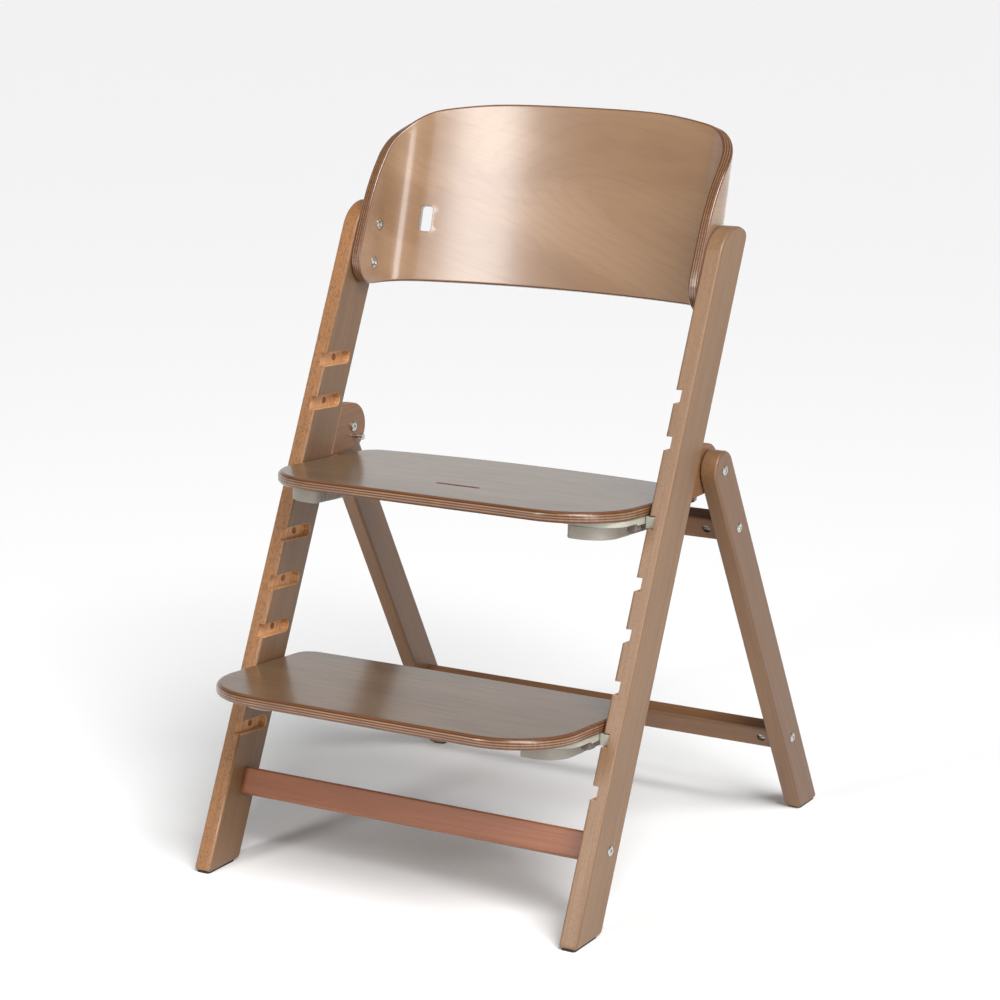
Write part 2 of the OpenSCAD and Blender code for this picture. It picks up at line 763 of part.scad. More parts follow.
rail_left();
rail_right();
front_crossbar();
crossbar_bolts();
crossbar_barrel_nuts();
hinge_block_left();
hinge_block_right();
block_dowels();
pivot_bolts();
pivot_sleeves();
fold_stop_pins();
backrest_panel();
backrest_screws();
rail_glides();
rear_leg_left();
rear_leg_right();
rear_upper_bar();
rear_lower_bar();
rear_bar_bolts();
rear_barrel_nuts();
leg_glides();
seat_plate();
seat_bracket_left();
seat_bracket_right();
seat_screws();
seat_knob_left();
seat_knob_right();
seat_pin_left();
seat_pin_right();
footrest_plate();
footrest_bracket_left();
footrest_bracket_right();
footrest_screws();
footrest_knob_left();
footrest_knob_right();
footrest_pin_left();
footrest_pin_right();
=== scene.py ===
"""Folding wooden high chair: beech rails, bent plywood backrest, sliding seat and footrest."""
import json
import math

import bmesh
import bpy
from mathutils import Matrix, Vector
from mathutils.geometry import delaunay_2d_cdt


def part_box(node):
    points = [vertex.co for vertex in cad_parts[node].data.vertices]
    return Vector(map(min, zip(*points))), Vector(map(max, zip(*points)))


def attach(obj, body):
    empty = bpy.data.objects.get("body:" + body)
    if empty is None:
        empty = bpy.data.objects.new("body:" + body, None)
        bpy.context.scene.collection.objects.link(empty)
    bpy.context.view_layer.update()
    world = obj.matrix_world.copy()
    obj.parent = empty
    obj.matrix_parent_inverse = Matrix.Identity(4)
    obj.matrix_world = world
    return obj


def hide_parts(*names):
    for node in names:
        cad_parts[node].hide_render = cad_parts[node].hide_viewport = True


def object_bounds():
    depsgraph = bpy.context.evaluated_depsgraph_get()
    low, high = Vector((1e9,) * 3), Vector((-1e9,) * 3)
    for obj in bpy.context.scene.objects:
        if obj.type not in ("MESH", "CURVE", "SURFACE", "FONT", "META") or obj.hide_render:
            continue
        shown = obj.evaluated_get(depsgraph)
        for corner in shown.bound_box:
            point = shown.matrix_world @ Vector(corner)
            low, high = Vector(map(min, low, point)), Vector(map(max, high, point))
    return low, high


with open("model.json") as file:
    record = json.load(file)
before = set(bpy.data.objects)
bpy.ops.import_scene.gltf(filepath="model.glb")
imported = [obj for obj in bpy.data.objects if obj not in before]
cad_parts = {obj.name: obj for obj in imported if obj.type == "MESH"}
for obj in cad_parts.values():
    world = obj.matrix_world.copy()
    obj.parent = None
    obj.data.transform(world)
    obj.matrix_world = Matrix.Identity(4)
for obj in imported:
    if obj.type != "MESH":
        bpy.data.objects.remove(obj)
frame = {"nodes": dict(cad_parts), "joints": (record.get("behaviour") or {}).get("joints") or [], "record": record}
cad_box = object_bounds()

MM = 0.001

# ---------------------------------------------------------------- measures, in metres

LEAN = math.radians(25)  # rails, from the vertical
LEG_ANGLE = math.radians(29)  # rear legs, from the vertical
BACK_LEAN = math.radians(15)  # backrest, from the vertical
TILT = math.radians(4)  # grooves and plates, lower at the back

RAIL_W = 54 * MM
RAIL_LEN = 789 * MM
GLIDE_T = 2 * MM
LEG_W = 42 * MM
BLOCK_R = 27 * MM
BAR_T, BAR_H = 18 * MM, 30 * MM
PLATE_T = 12 * MM
PLATE_DROP = 1.2 * MM
GROOVE_H, GROOVE_D, GROOVE_LEN = 14 * MM, 8 * MM, 45 * MM
PIN_U = 25 * MM  # a latch pin's place along its groove
HEAD_R, HEAD_DEPTH = 5.8 * MM, 1.4 * MM  # recess round a bolt head
HEADS_DOWN_LEG = (0, 81 * MM, 402 * MM)  # places of a leg's bolt heads, from the pivot
NUT_R, NUT_DEPTH = 5.2 * MM, 16 * MM  # hole for a barrel nut
NUT_IN = 16 * MM  # its distance from the bar's end
EASE = 3 * MM  # rounding of the wood's long edges
FOOT_R = 3.4 * MM  # rounding at the foot of a rail or leg
# A round end's corner radius as a share of half its width: a hair of flat stays between its arcs
FULL_ROUND = 0.999

rail_low, rail_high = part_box("rail_right")
RAIL_IN, RAIL_OUT = rail_low.x, rail_high.x
leg_low, leg_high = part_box("rear_leg_right")
LEG_IN, LEG_OUT = leg_low.x, leg_high.x
BLOCK_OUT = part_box("hinge_block_right")[1].x
PIVOT = Vector(next(j for j in frame["joints"] if j["name"] == "rear_fold")["pos_m"])
PIVOT_SETBACK = 34 * MM
RAIL_BACK_Y = RAIL_W / math.cos(LEAN)
# Where the rails' front planes meet the floor
FRONT_Y = PIVOT.y - PIVOT.z * math.tan(LEAN) - RAIL_BACK_Y - PIVOT_SETBACK

GROOVE_TOPS = [z * MM for z in (156, 206, 256, 306, 356, 416, 494, 540)]
FOOTREST_Z, SEAT_Z = GROOVE_TOPS[1], GROOVE_TOPS[5]

# ---------------------------------------------------------------- outlines


def arc(cx, cy, r, start, end, step=0.0012):
    """Points along an arc, angles in radians."""
    n = min(160, max(3, int(abs(end - start) * r / step)))
    return [(cx + r * math.cos(a), cy + r * math.sin(a))
            for a in (start + (end - start) * i / n for i in range(n + 1))]


def rounded(corners):
    """Closed outline from (x, y, radius) corners, counter-clockwise, each corner an arc."""
    points = []
    for i, (x, y, r) in enumerate(corners):
        p = Vector((x, y))
        before = (Vector(corners[i - 1][:2]) - p).normalized()
        after = (Vector(corners[(i + 1) % len(corners)][:2]) - p).normalized()
        half = before.angle(after) / 2
        if r <= 0:
            points.append((x, y))
            continue
        centre = p + (before + after).normalized() * (r / math.sin(half))
        start = p + before * (r / math.tan(half)) - centre
        end = p + after * (r / math.tan(half)) - centre
        a0 = math.atan2(start.y, start.x)
        a1 = math.atan2(end.y, end.x)
        turn = (a1 - a0 + math.pi) % (2 * math.pi) - math.pi
        points += arc(centre.x, centre.y, r, a0, a0 + turn)
    return tidy_loop(points)


def tidy_loop(points, nearest=1e-5):
    """Drops points that lie on the one before."""
    kept = []
    for p in points:
        if not kept or math.dist(p, kept[-1]) > nearest:
            kept.append(p)
    if math.dist(kept[0], kept[-1]) <= nearest:
        kept.pop()
    return kept


def rectangle(x0, y0, x1, y1, r):
    return rounded([(x0, y0, r), (x1, y0, r), (x1, y1, r), (x0, y1, r)])


def circle(r, count):
    angles = (2 * math.pi * i / count for i in range(count))
    return [(r * math.cos(a), r * math.sin(a)) for a in angles]


def area(loop):
    return sum(a[0] * b[1] - b[0] * a[1] for a, b in zip(loop, loop[1:] + loop[:1])) / 2


def turned(loop, way):
    """The loop counter-clockwise (way 1) or clockwise (way -1)."""
    return loop if area(loop) * way > 0 else loop[::-1]


def inset(loop, amount):
    """Moves each point to its left by amount: into the material, for outlines and holes alike."""
    moved = []
    for i, p in enumerate(loop):
        a = Vector(p) - Vector(loop[i - 1])
        b = Vector(loop[(i + 1) % len(loop)]) - Vector(p)
        left = (a.normalized() + b.normalized()).normalized()
        left = Vector((-left.y, left.x))
        spread = max(0.5, left.dot(Vector((-b.y, b.x)).normalized()))
        moved.append((p[0] + left.x * amount / spread, p[1] + left.y * amount / spread))
    return moved


def rim(thickness, r, far_r=None, steps=5):
    """Section of a rounded rim, as (inset, depth) from one face to the other."""
    quarter = [math.pi / 2 * i / steps for i in range(steps + 1)]
    near, far = ([(e * (1 - math.sin(a)), e * (1 - math.cos(a))) for a in quarter]
                 for e in (r, far_r or r))
    return near + [(i, thickness - d) for i, d in reversed(far)]


def inside(point, loop):
    """Whether a line from the point to the right crosses the loop an odd number of times."""
    x, y = point
    hit = False
    for (x0, y0), (x1, y1) in zip(loop, loop[1:] + loop[:1]):
        if (y0 > y) != (y1 > y) and x < (x1 - x0) * (y - y0) / (y1 - y0) + x0:
            hit = not hit
    return hit


# ---------------------------------------------------------------- solids


def link(name, bm):
    """A new object in the scene from a finished bmesh."""
    mesh = bpy.data.meshes.new(name)
    bm.to_mesh(mesh)
    bm.free()
    obj = bpy.data.objects.new(name, mesh)
    bpy.context.scene.collection.objects.link(obj)
    shade(obj)
    return obj


def grid_inside(border, loops, step):
    """Points of a grid inside the first loop, outside the others and clear of the border."""
    clear = step * 0.55
    left, right = min(p.x for p in border), max(p.x for p in border)
    low, high = min(p.y for p in border), max(p.y for p in border)
    for i in range(int((right - left) / step)):
        for j in range(int((high - low) / step)):
            p = (left + (i + 0.5) * step, low + (j + 0.5) * step)
            if (min((q - Vector(p)).length for q in border) > clear and inside(p, loops[0])
                    and not any(inside(p, hole) for hole in loops[1:])):
                yield p


def solid(name, outline, section, place, holes=(), hole_section=None, step=None):
    """A closed mesh: an outline with holes, each with the section of its rim from face to face.

    place(u, v, w) puts a point of the flat blank in the row frame. With step, the faces hold a
    grid of points, so that place can bend them.
    """
    bm = bmesh.new()
    blank = bm.verts.layers.float_vector.new("grain")

    def vert(u, v, w):
        made = bm.verts.new(place(u, v, w))
        made[blank] = (u, v, w)
        return made

    face_loops = ([], [])
    walls = [(turned(outline, 1), section)] + [(turned(h, -1), hole_section) for h in holes]
    for loop, profile in walls:
        insets = [inset(loop, amount) for amount, _ in profile]
        rings = [[vert(u, v, depth) for u, v in moved]
                 for moved, (_, depth) in zip(insets, profile)]
        for near, far in zip(rings, rings[1:]):
            for i in range(len(loop)):
                bm.faces.new((near[i - 1], near[i], far[i], far[i - 1]))
        face_loops[0].append((insets[0], rings[0]))
        face_loops[1].append((insets[-1], rings[-1]))

    for loops_and_rings, depth, way in ((face_loops[0], section[0][1], -1),
                                        (face_loops[1], section[-1][1], 1)):
        loops = [loop for loop, _ in loops_and_rings]
        points, verts, edges = [], [], []
        for loop, ring in loops_and_rings:
            first, n = len(points), len(ring)
            points += [Vector(p) for p in loop]
            verts += ring
            edges += [(first + i, first + (i + 1) % n) for i in range(n)]
        if step:
            for p in list(grid_inside(points, loops, step)):
                points.append(Vector(p))
                verts.append(vert(*p, depth))
        made_points, _, triangles, origins, *_ = delaunay_2d_cdt(points, edges, [], 1, 1e-7)
        corners = [verts[was[0]] if was else vert(p.x, p.y, depth)
                   for p, was in zip(made_points, origins)]
        for triangle in triangles:
            middle = sum((made_points[k] for k in triangle), Vector((0, 0))) / 3
            three = [corners[k] for k in triangle]
            if len(set(three)) == 3 and not any(inside(middle, hole) for hole in loops[1:]):
                bm.faces.new(three[::way])
    bmesh.ops.recalc_face_normals(bm, faces=bm.faces)
    return link(name, bm)


def shade(obj):
    """Smooth shading with sharp edges kept, and normals weighted towards the large faces."""
    obj.data.shade_smooth()
    obj.data.set_sharp_from_angle(angle=math.radians(35))
    obj.modifiers.new("normals", "WEIGHTED_NORMAL").keep_sharp = True


def placed(matrix):
    """A place function that only moves the blank."""
    return lambda u, v, w: matrix @ Vector((u, v, w))


def cutter(name, outline, section, matrix):
    return solid(name, outline, section, placed(matrix))


def cut(obj, cutters, matrix, index):
    """Takes the cutters out of obj, whose blank matrix places. The cut faces get that material."""
    obj.modifiers.clear()
    for knife in cutters:
        for polygon in knife.data.polygons:
            polygon.material_index = index
        while len(knife.data.materials) <= index:
            knife.data.materials.append(None)
        taken = obj.modifiers.new("cut", "BOOLEAN")
        taken.operation = "DIFFERENCE"
        taken.solver = "EXACT"
        taken.object = knife
    while len(obj.data.materials) <= index:
        obj.data.materials.append(None)
    graph = bpy.context.evaluated_depsgraph_get()
    mesh = bpy.data.meshes.new_from_object(obj.evaluated_get(graph))
    obj.modifiers.clear()
    obj.data = mesh
    for knife in cutters:
        bpy.data.objects.remove(knife)
    write_grain(obj, matrix)
    shade(obj)


def write_grain(obj, matrix):
    """The blank's own coordinates of every point, for the wood's pattern."""
    back = matrix.inverted()
    mesh = obj.data
    if "grain" in mesh.attributes:
        mesh.attributes.remove(mesh.attributes["grain"])
    layer = mesh.attributes.new("grain", "FLOAT_VECTOR", "POINT")
    for v in mesh.vertices:
        layer.data[v.index].vector = back @ v.co


def join(name, parts):
    """One object from several."""
    bm = bmesh.new()
    bm.verts.layers.float_vector.new("grain")
    for part in parts:
        bm.from_mesh(part.data)
        bpy.data.objects.remove(part)
    return link(name, bm)


def blank_at(origin, u, v, w):
    """Matrix that turns a blank's u, v and w to these directions in the row frame."""
    return Matrix.Translation(Vector(origin)) @ Matrix((u, v, w)).transposed().to_4x4()


def finish_piece(obj, body, node, slot, *materials):
    """Gives a piece its materials in the order of their indices and its body, and hides the CAD node it stands
    for.
    """
    while len(obj.data.materials) < len(materials):
        obj.data.materials.append(None)
    for i, material in enumerate(materials):
        obj.data.materials[i] = material
    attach(obj, body)
    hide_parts(node)


def side_name(side):
    return "right" if side > 0 else "left"


# Directions in the row frame
ACROSS = Vector((1, 0, 0))
UP_RAIL = Vector((0, math.sin(LEAN), math.cos(LEAN)))
INTO_RAIL = Vector((0, math.cos(LEAN), -math.sin(LEAN)))
DOWN_LEG = Vector((0, math.sin(LEG_ANGLE), -math.cos(LEG_ANGLE)))
ACROSS_LEG = Vector((0, math.cos(LEG_ANGLE), math.sin(LEG_ANGLE)))
BACK_GROOVE = Vector((0, math.cos(TILT), -math.sin(TILT)))
UP_GROOVE = Vector((0, math.sin(TILT), math.cos(TILT)))


def groove_origin(top):
    """Where a groove's upper edge meets the rails' front planes."""
    return Vector((0, FRONT_Y + top * math.tan(LEAN), top))


# ---------------------------------------------------------------- materials


class Nodes:
    """Short forms for building a material's nodes."""

    def __init__(self, name):
        self.material = bpy.data.materials.new(name)
        self.material.use_nodes = True
        self.tree = self.material.node_tree
        self.shader = self.tree.nodes["Principled BSDF"]

    def node(self, kind, **settings):
        made = self.tree.nodes.new(kind)
        for key, value in settings.items():
            setattr(made, key, value)
        return made

    def link(self, source, target):
        self.tree.links.new(source, target)

    def put(self, socket, value):
        if isinstance(value, bpy.types.NodeSocket):
            self.link(value, socket)
        else:
            socket.default_value = value

    def math(self, operation, a, b=0.0):
        made = self.node("ShaderNodeMath", operation=operation)
        self.put(made.inputs[0], a)
        self.put(made.inputs[1], b)
        return made.outputs[0]

    def smooth(self, value, low, high, out_low=0.0, out_high=1.0):
        made = self.node("ShaderNodeMapRange", interpolation_type="SMOOTHSTEP")
        self.put(made.inputs["Value"], value)
        made.inputs["From Min"].default_value = low
        made.inputs["From Max"].default_value = high
        made.inputs["To Min"].default_value = out_low
        made.inputs["To Max"].default_value = out_high
        return made.outputs[0]

    def mix(self, factor, a, b, blend="MIX"):
        made = self.node("ShaderNodeMix", data_type="RGBA", blend_type=blend)
        self.put(made.inputs[0], factor)
        self.put(made.inputs[6], a)
        self.put(made.inputs[7], b)
        return made.outputs[2]

    def scaled(self, vector, scale, offset=(0, 0, 0)):
        made = self.node("ShaderNodeMapping")
        self.put(made.inputs["Vector"], vector)
        made.inputs["Scale"].default_value = scale
        made.inputs["Location"].default_value = offset
        return made.outputs[0]

    def noise(self, vector, scale, detail=4.0, rough=0.55, distort=0.0, offset=(0, 0, 0)):
        made = self.node("ShaderNodeTexNoise")
        self.put(made.inputs["Vector"], self.scaled(vector, scale, offset))
        made.inputs["Scale"].default_value = 1.0
        made.inputs["Detail"].default_value = detail
        made.inputs["Roughness"].default_value = rough
        made.inputs["Distortion"].default_value = distort
        return made.outputs["Fac"]

    def bump(self, height, distance):
        made = self.node("ShaderNodeBump")
        self.put(made.inputs["Height"], height)
        made.inputs["Distance"].default_value = distance
        made.inputs["Strength"].default_value = 1.0
        self.link(made.outputs[0], self.shader.inputs["Normal"])

    def coords(self):
        return self.node("ShaderNodeTexCoord").outputs["Object"]

    def grain(self):
        made = self.node("ShaderNodeAttribute", attribute_name="grain")
        return made.outputs["Vector"]


def rgb(r, g, b):
    """Linear colour from 0-255 display values."""
    def line(c):
        c /= 255
        return c / 12.92 if c <= 0.04045 else ((c + 0.055) / 1.055) ** 2.4
    return (line(r), line(g), line(b), 1.0)


def lacquer(n, roughness, coat, coat_rough):
    n.put(n.shader.inputs["Roughness"], roughness)
    n.shader.inputs["Coat Weight"].default_value = coat
    n.shader.inputs["Coat Roughness"].default_value = coat_rough
    n.shader.inputs["IOR"].default_value = 1.5


def solid_wood(name, side, front, dark, seed, fleck_weight):
    """Stained beech. The grain attribute's first axis runs along the fibres.

    side is the colour of the broad faces across X, front that of the narrow front and back faces: painted light
    and shade, the sides darker as if shaded and the fronts lighter as if lit.
    """
    n = Nodes(name)
    g = n.grain()
    at = (seed, seed * 1.7, seed * 0.6)
    cloud = n.noise(g, (5, 18, 18), 2, 0.5, 0.4, at)
    broad = n.noise(g, (2.2, 60, 60), 3, 0.5, 0.5, at)
    streak = n.noise(g, (9, 520, 520), 4, 0.6, 0.3, at)
    fibre = n.noise(g, (60, 2600, 2600), 3, 0.6, 0.0, at)
    fleck = n.noise(g, (300, 1700, 1700), 1, 0.4, 0.0, at)
    geometry = n.node("ShaderNodeNewGeometry")
    split = n.node("ShaderNodeSeparateXYZ")
    n.link(geometry.outputs["Normal"], split.inputs[0])
    shaded_sides = n.smooth(n.math("ABSOLUTE", split.outputs[0]), 0.35, 0.85)
    # Painted light and shade: faces that look sideways take the darker side colour, the others the lighter front
    # colour
    colour = n.mix(shaded_sides, front, side)
    colour = n.mix(n.smooth(cloud, 0.35, 0.7, 0, 0.16), colour, dark)
    colour = n.mix(n.smooth(broad, 0.4, 0.7, 0, 0.2), colour, dark)
    colour = n.mix(n.smooth(streak, 0.4, 0.72, 0, 0.2), colour, dark)
    colour = n.mix(n.smooth(fibre, 0.5, 0.75, 0, 0.1), colour, (1.0, 0.86, 0.7, 1.0), "SOFT_LIGHT")
    fewer = n.smooth(shaded_sides, 0, 1, fleck_weight, 0.12)
    colour = n.mix(n.math("MULTIPLY", n.smooth(fleck, 0.56, 0.66), fewer), colour, dark)
    n.put(n.shader.inputs["Base Color"], colour)
    lacquer(n, n.smooth(streak, 0.3, 0.8, 0.4, 0.5), 0.15, 0.2)
    relief = n.math("ADD", n.math("MULTIPLY", fibre, 0.35), n.math("MULTIPLY", broad, 2.0))
    n.bump(relief, 0.00005)
    return n.material


def plywood(name, face, dark, light, seed, slant=0.0, figure=0.14, coat=0.5):
    """Veneered plywood. The grain attribute holds the flat blank's place: along the veneer's
    grain, across it, and through the layers. slant turns the grain, in degrees."""
    n = Nodes(name)
    g = n.grain()
    at = (seed, seed * 1.3, 0)
    flat = n.scaled(g, (1, 1, 0.2))
    flat.node.inputs["Rotation"].default_value = (0, 0, math.radians(slant))
    cloud = n.noise(flat, (4, 11, 11), 3, 0.5, 0.8, at)
    hills = n.noise(flat, (2.6, 7.5, 7.5), 1, 0.4, 0.5, at)
    waver = n.noise(flat, (16, 90, 40), 2, 0.5, 0.0, at)
    height = n.math("ADD", n.math("MULTIPLY", hills, 120.0), n.math("MULTIPLY", waver, 5.0))
    rings = n.math("SINE", height)
    streak = n.noise(flat, (12, 420, 90), 4, 0.62, 0.4, at)
    pore = n.noise(flat, (260, 2600, 300), 2, 0.5, 0.0, at)
    colour = n.mix(n.smooth(cloud, 0.35, 0.68, 0, 0.26), face, dark)
    colour = n.mix(n.smooth(cloud, 0.62, 0.3, 0, 0.3), colour, light)
    colour = n.mix(n.smooth(rings, 0.35, 1.0, 0, figure), colour, dark)
    colour = n.mix(n.smooth(streak, 0.42, 0.75, 0, 0.16), colour, dark)
    colour = n.mix(n.smooth(pore, 0.6, 0.72, 0, 0.2), colour, dark)

    # Layers, with long grain and end grain in turn and thin dark glue lines between them
    layers = 9
    split = n.node("ShaderNodeSeparateXYZ")
    n.link(g, split.inputs[0])
    wander = n.noise(g, (14, 14, 0), 2, 0.5, 0, at)
    depth = n.math("MULTIPLY", split.outputs[2], layers / PLATE_T)
    depth = n.math("ADD", depth, n.math("MULTIPLY", n.math("SUBTRACT", wander, 0.5), 0.25))
    odd = n.math("MODULO", n.math("FLOOR", depth), 2.0)
    part = n.math("FRACT", depth)
    near_glue = n.math("ABSOLUTE", n.math("SUBTRACT", part, 0.5))
    end_fleck = n.noise(g, (900, 900, 900), 2, 0.6, 0, at)
    end_grain = n.mix(n.smooth(end_fleck, 0.35, 0.7), rgb(60, 38, 24), rgb(84, 54, 34))
    long_grain = n.mix(n.smooth(streak, 0.3, 0.7), rgb(150, 108, 72), rgb(122, 82, 52))
    edge = n.mix(n.smooth(odd, 0.2, 0.8), long_grain, end_grain)
    edge = n.mix(n.smooth(near_glue, 0.42, 0.48, 0, 0.5), edge, rgb(44, 26, 16))
    from_middle = n.math("ABSOLUTE", n.math("SUBTRACT", split.outputs[2], PLATE_T / 2))
    skin = n.smooth(from_middle, PLATE_T / 2 - 1.7 * MM, PLATE_T / 2 - 1.4 * MM)
    # The outer layer's rounded rim, from 0.35 mm to 1.4 mm under the face, is darker brown
    rim_tone = n.mix(n.smooth(streak, 0.3, 0.7), rgb(118, 74, 44), rgb(96, 58, 34))
    surface = n.smooth(from_middle, PLATE_T / 2 - 0.35 * MM, PLATE_T / 2 - 0.02 * MM)
    colour = n.mix(surface, rim_tone, colour)
    colour = n.mix(skin, edge, colour)
    n.put(n.shader.inputs["Base Color"], colour)
    lacquer(n, n.smooth(streak, 0.3, 0.8, 0.32, 0.42), coat, 0.17)
    relief = n.math("ADD", n.math("MULTIPLY", pore, 0.3), n.math("MULTIPLY", cloud, 2.0))
    n.bump(relief, 0.00004)
    return n.material


def raw_wood(name):
    """The pale, lightly sealed wood inside a routed groove."""
    n = Nodes(name)
    g = n.grain()
    streak = n.noise(g, (20, 500, 500), 4, 0.6)
    fleck = n.noise(g, (330, 2100, 2100), 1, 0.4)
    colour = n.mix(n.smooth(streak, 0.35, 0.7), rgb(202, 152, 104), rgb(166, 114, 70))
    colour = n.mix(n.smooth(fleck, 0.58, 0.68, 0, 0.45), colour, rgb(124, 80, 46))
    n.put(n.shader.inputs["Base Color"], colour)
    lacquer(n, 0.5, 0.15, 0.3)
    n.bump(streak, 0.00005)
    return n.material


def plated_steel(name):
    """Zinc plate, smeared and finely pitted."""
    n = Nodes(name)
    coord = n.coords()
    smear = n.noise(coord, (240, 240, 240), 3, 0.6)
    fine = n.noise(coord, (2600, 2600, 2600), 2, 0.5)
    n.put(n.shader.inputs["Base Color"], n.mix(smear, rgb(176, 178, 176), rgb(214, 214, 208)))
    n.shader.inputs["Metallic"].default_value = 1.0
    n.put(n.shader.inputs["Roughness"], n.smooth(smear, 0.3, 0.7, 0.2, 0.36))
    n.bump(fine, 0.00001)
    return n.material


def moulded(name, colour, shade_colour, rough):
    """Moulded plastic with a fine spark-eroded texture."""
    n = Nodes(name)
    coord = n.coords()
    cloud = n.noise(coord, (30, 30, 30), 3, 0.5)
    grit = n.noise(coord, (3800, 3800, 3800), 2, 0.6)
    n.put(n.shader.inputs["Base Color"], n.mix(n.smooth(cloud, 0.3, 0.7), colour, shade_colour))
    n.put(n.shader.inputs["Roughness"], n.smooth(grit, 0.3, 0.7, rough - 0.06, rough + 0.06))
    n.bump(grit, 0.00003)
    return n.material


RAIL_WOOD = solid_wood("rail_wood", rgb(116, 86, 58), rgb(154, 108, 68), rgb(72, 45, 27), 1.0, 0.75)
# The right rail's own copy of the same stain, lighter and greyer: painted light and sheen for its lit faces
RAIL_WOOD_LIT_R = solid_wood("rail_wood_right_lit", rgb(123, 92, 62), rgb(138, 106, 78), rgb(84, 56, 36),
                         4.0, 0.4)
LEG_WOOD = solid_wood("leg_wood", rgb(108, 77, 50), rgb(132, 97, 66), rgb(78, 50, 30), 2.3, 0.2)
BLOCK_WOOD = solid_wood("block_wood", rgb(124, 86, 56), rgb(144, 96, 60), rgb(76, 44, 26), 3.1, 0.2)
BAR_WOOD = solid_wood("bar_wood", rgb(122, 84, 54), rgb(124, 86, 55), rgb(70, 42, 24), 5.2, 0.15)
FRONT_BAR_WOOD = solid_wood("front_bar_wood", rgb(140, 84, 54), rgb(144, 88, 58), rgb(78, 42, 26),
                            6.4, 0.15)
RAW_WOOD = raw_wood("groove_wood")
BACK_PLY = plywood("backrest_ply", rgb(146, 113, 84), rgb(112, 81, 56), rgb(172, 142, 114), 2.0,
                   slant=12, figure=0.09, coat=1.0)
SEAT_PLY = plywood("seat_ply", rgb(102, 80, 56), rgb(76, 56, 36), rgb(118, 98, 72), 5.0)
FOOT_PLY = plywood("footrest_ply", rgb(104, 79, 54), rgb(76, 54, 35), rgb(120, 97, 72), 9.0)
STEEL = plated_steel("plated_steel")
KNOB = moulded("knob_plastic", rgb(150, 143, 133), rgb(140, 133, 123), 0.46)
# Dark grey for the stop pad at the knob's outer end: painted shade for the shadow between the knob and the rail
SHADED_KNOB_PAD = moulded("knob_pad_painted_shade", rgb(112, 102, 94), rgb(102, 92, 85), 0.6)
BRACKET = moulded("bracket_plastic", rgb(172, 170, 156), rgb(162, 160, 146), 0.5)
RUBBER = moulded("glide_rubber", rgb(46, 40, 35), rgb(36, 32, 28), 0.7)

# ---------------------------------------------------------------- rails


def rail_outline():
    """A rail from the side, rounded off at the front of its top."""
    def foot(v):
        return (GLIDE_T + v * math.sin(LEAN)) / math.cos(LEAN)

    heel_r, top_back_r, top_front_r = 0.006, 0.009, 0.042
    return rounded([
        (foot(0), 0, FOOT_R), (foot(RAIL_W), RAIL_W, heel_r),
        (RAIL_LEN, RAIL_W, top_back_r), (RAIL_LEN, 0, top_front_r),
    ][::-1])


def groove_cutters(side):
    """One routed groove each, its mouth edges eased, with the latch hole in its floor."""
    cutters = []
    r = GROOVE_H / 2
    outside = -0.02  # well clear of the rail's front face
    shape = rounded([
        (outside, 0, 0), (GROOVE_LEN, 0, r * FULL_ROUND),
        (GROOVE_LEN, GROOVE_H, r * FULL_ROUND), (outside, GROOVE_H, 0)])
    mouth = [(-0.0018, -0.001), (0, 0.0008), (0, GROOVE_D)]
    hole = arc(PIN_U, r, 0.004, 0, 2 * math.pi)[:-1]
    drill = [(0, GROOVE_D - 0.001), (0, GROOVE_D + 0.007)]
    for i, top in enumerate(GROOVE_TOPS):
        # u back along the groove, v up from its lower edge, w outward into the rail
        origin = groove_origin(top) - UP_GROOVE * GROOVE_H
        origin.x = side * RAIL_IN
        matrix = blank_at(origin, BACK_GROOVE, UP_GROOVE, side * ACROSS)
        cutters.append(cutter(f"groove_cut_{i}", shape, mouth, matrix))
        cutters.append(cutter(f"hole_cut_{i}", hole, drill, matrix))
    return cutters


def head_cutter(name, centre, side):
    """A recess for a bolt head, drilled towards the middle from 1 mm outside a side face."""
    start, end = (-0.001, HEAD_DEPTH) if side < 0 else (-HEAD_DEPTH, 0.001)
    matrix = blank_at(centre, (0, 1, 0), (0, 0, 1), ACROSS)
    return cutter(name, circle(HEAD_R, 64), [(0, start), (0, end)], matrix)


def rail(side, wood):
    node = f"rail_{side_name(side)}"
    x0 = RAIL_IN if side > 0 else -RAIL_OUT
    matrix = blank_at((x0, FRONT_Y, 0), UP_RAIL, INTO_RAIL, ACROSS)
    obj = solid(f"{node}_wood", rail_outline(), rim(RAIL_OUT - RAIL_IN, EASE), placed(matrix))
    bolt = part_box("crossbar_bolts")
    centre = (bolt[0] + bolt[1]) / 2
    centre.x = side * RAIL_OUT
    cut(obj, groove_cutters(side) + [head_cutter("bolt_cut", centre, side)], matrix, 1)
    finish_piece(obj, "frame", node, "stained_beech", wood, RAW_WOOD)


rail(-1, RAIL_WOOD)
rail(1, RAIL_WOOD_LIT_R)

# ---------------------------------------------------------------- bars


